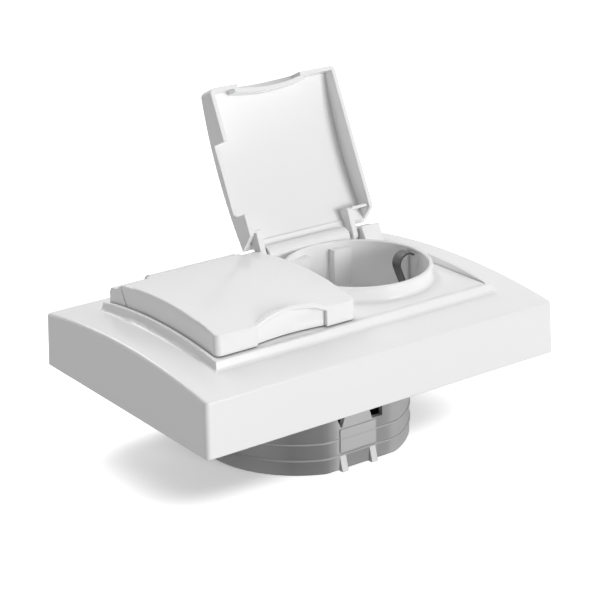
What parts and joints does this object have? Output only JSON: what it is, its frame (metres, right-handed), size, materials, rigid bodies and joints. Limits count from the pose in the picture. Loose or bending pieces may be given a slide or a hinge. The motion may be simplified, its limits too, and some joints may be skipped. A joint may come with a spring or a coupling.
{
  "type": "double socket with lid",
  "caption": "Flush wall socket for side-earth plugs with wells side by side under hinged lids, one shown open, in an arched white frame over a round rear cup.",
  "frame": {"origin": "centre of the wall plane, the plane of the cover frame's back rim", "axes": "+Z out of the wall, +X from the closed lid's well to the open lid's well, +Y from the finger side of the lids to their hinge"},
  "size_m": [0.115, 0.0902, 0.0912],
  "materials": {
    "frame_white": "glossy white moulding",
    "insert_white": "glossy white moulding",
    "lid_white": "glossy white moulding",
    "cup_milky": "milky translucent",
    "carrier_grey": "satin moulding",
    "pin_steel": "drawn wire",
    "strap_steel": "galvanised sheet",
    "spring_steel": "spring steel",
    "clip_metal": "plated strip",
    "contact_brass": "stamped strip",
    "terminal_brass": "sawn bar",
    "screw_steel": "zinc plated",
    "rivet_steel": "zinc plated"
  },
  "bodies": {
    "base": {"cover_frame": "frame_white", "socket_insert": "insert_white", "left_hinge_pins": "pin_steel", "right_hinge_pins": "pin_steel", "mounting_strap": "strap_steel", "contact_carrier": "carrier_grey", "rear_cup": "cup_milky", "live_contact_bar": "contact_brass", "neutral_contact_bar": "contact_brass", "sleeve_springs": "spring_steel", "left_earth_bow": "clip_metal", "right_earth_bow": "clip_metal", "earth_link": "contact_brass", "live_terminal": "terminal_brass", "neutral_terminal": "terminal_brass", "earth_terminal": "terminal_brass", "terminal_screws": "screw_steel", "insert_screws": "screw_steel", "carrier_rivets": "rivet_steel", "earth_rivets": "rivet_steel"},
    "left_lid": {"left_lid": "lid_white"},
    "right_lid": {"right_lid": "lid_white"}
  },
  "joints": [
    {"name": "left_lid_hinge", "type": "hinge", "parent": "base", "child": "left_lid", "pos_m": [0, 0.0235, 0.02251], "axis": [-1, 0, 0], "range_deg": [0, 115]},
    {"name": "right_lid_hinge", "type": "hinge", "parent": "base", "child": "right_lid", "pos_m": [0, 0.0235, 0.02251], "axis": [1, 0, 0], "range_deg": [0, 115]}
  ]
}
